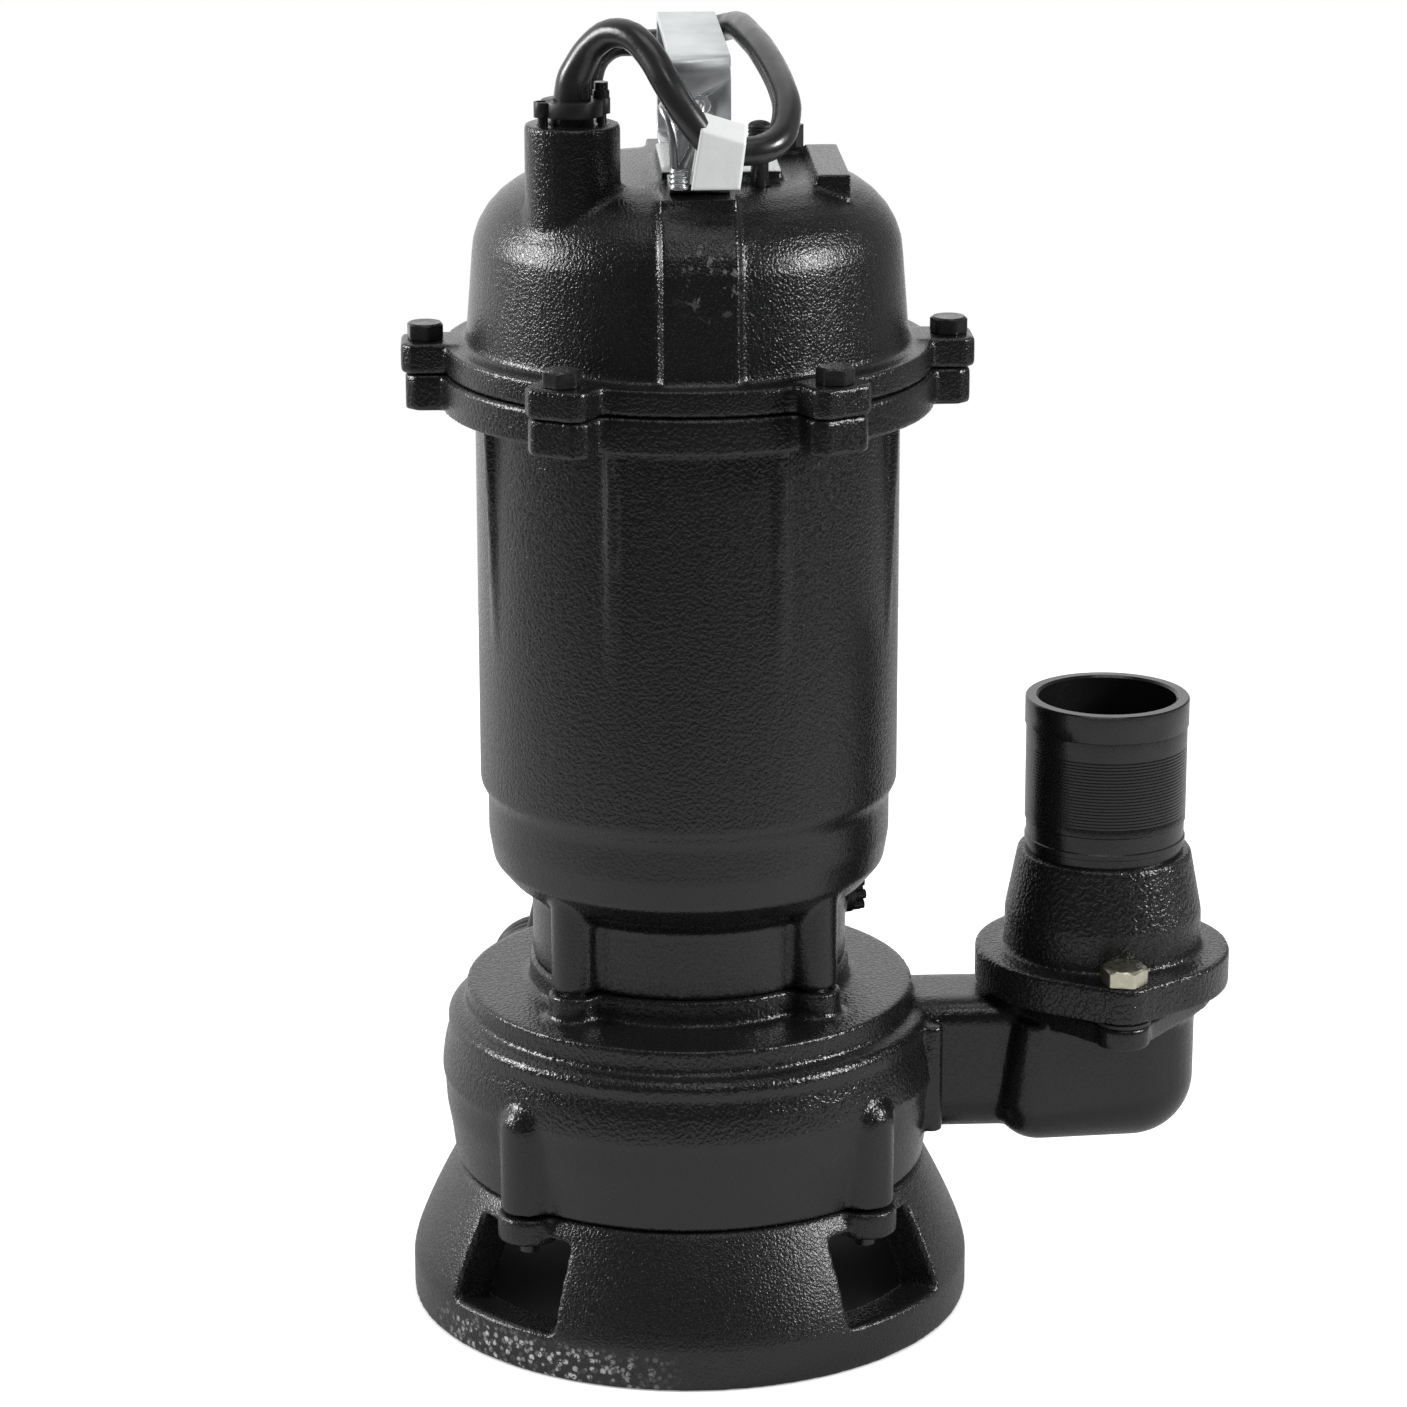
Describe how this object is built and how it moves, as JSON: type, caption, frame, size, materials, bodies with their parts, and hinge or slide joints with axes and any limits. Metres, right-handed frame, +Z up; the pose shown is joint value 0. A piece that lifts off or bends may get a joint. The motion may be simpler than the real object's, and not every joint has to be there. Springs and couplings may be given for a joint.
{
  "type": "submersible sump pump",
  "caption": "Black cast-iron submersible sump pump on a ring stand, with side hose spigot, strap handle and mains cord.",
  "frame": {"origin": "on the floor, below the middle of the pump's bounding box without its cord", "axes": "+Z up along the pump shaft, +X from the pump axis towards the hose spigot, +Y to the rear where the cord lies"},
  "size_m": [0.2532, 0.314, 0.4023],
  "materials": {
    "black_enamel": "glossy black enamel over a rough casting",
    "black_screw": "black paint",
    "galvanised": "bright galvanised steel",
    "zinc_bolt": "zinc plated",
    "bare_steel": "machined",
    "rubber": "matt rubber",
    "cord_rubber": "satin rubber",
    "black_plastic": "moulded",
    "white_tape": "satin tape",
    "ceramic": "ground ceramic",
    "grey_wire": "twisted wire",
    "copper": "varnished copper wire",
    "bearing_brass": "stamped cage with steel balls",
    "grey_iron": "bare casting",
    "aluminium": "cast aluminium"
  },
  "bodies": {
    "pump_body": {"base_stand": "black_enamel", "base_studs": "bare_steel", "base_seal": "rubber", "volute_casing": "black_enamel", "spigot": "black_enamel", "spigot_gasket": "rubber", "spigot_bolts": "zinc_bolt", "motor_housing": "black_enamel", "neck_bolts": "bare_steel", "neck_seal": "rubber", "oil_plug": "black_plastic", "oil_plug_washer": "rubber", "top_cover": "black_enamel", "cover_seal": "rubber", "cover_bolts": "black_screw", "handle": "galvanised", "handle_bolts": "black_screw", "gland_plate": "black_plastic", "gland_screws": "black_screw", "gland_seal": "rubber", "gland_washer": "bare_steel", "cord_inlet": "cord_rubber", "power_cord": "cord_rubber", "cord_coil": "cord_rubber", "cord_tail": "cord_rubber", "plug_body": "cord_rubber", "plug_pins": "galvanised", "cord_band": "white_tape", "seal_wire": "grey_wire", "seal_ferrule": "galvanised", "cap_stud": "bare_steel", "stud_cap": "rubber", "vent_plug": "black_screw", "stator_core": "bare_steel", "stator_windings": "copper", "thermal_switch": "black_plastic", "motor_leads": "copper", "terminal_block": "black_plastic", "capacitor": "aluminium", "capacitor_clip": "bare_steel", "bearing_bracket": "bare_steel", "wave_washer": "bare_steel", "upper_bearing_outer": "bare_steel", "lower_bearing_outer": "bare_steel", "lip_seal": "rubber", "seal_seat": "ceramic"},
    "rotor": {"shaft": "bare_steel", "rotor_core": "bare_steel", "rotor_end_rings": "aluminium", "impeller": "grey_iron", "impeller_key": "bare_steel", "impeller_washer": "bare_steel", "impeller_nut": "bare_steel", "upper_bearing_inner": "bare_steel", "lower_bearing_inner": "bare_steel", "seal_head": "black_plastic", "seal_spring": "bare_steel"},
    "lower_cage": {"lower_bearing_cage": "bearing_brass"},
    "upper_cage": {"upper_bearing_cage": "bearing_brass"}
  },
  "joints": [
    {"name": "rotor_spin", "type": "hinge", "parent": "pump_body", "child": "rotor", "pos_m": [-0.0404, 0, 0.2], "axis": [0, 0, 1], "continuous": true},
    {"name": "lower_cage_spin", "type": "hinge", "parent": "pump_body", "child": "lower_cage", "pos_m": [-0.0404, 0, 0.146], "axis": [0, 0, 1], "continuous": true},
    {"name": "upper_cage_spin", "type": "hinge", "parent": "pump_body", "child": "upper_cage", "pos_m": [-0.0404, 0, 0.2825], "axis": [0, 0, 1], "continuous": true}
  ],
  "couplings": [
    {"joint": "lower_cage_spin", "follows": "rotor_spin", "ratio": 0.379},
    {"joint": "upper_cage_spin", "follows": "rotor_spin", "ratio": 0.38}
  ]
}
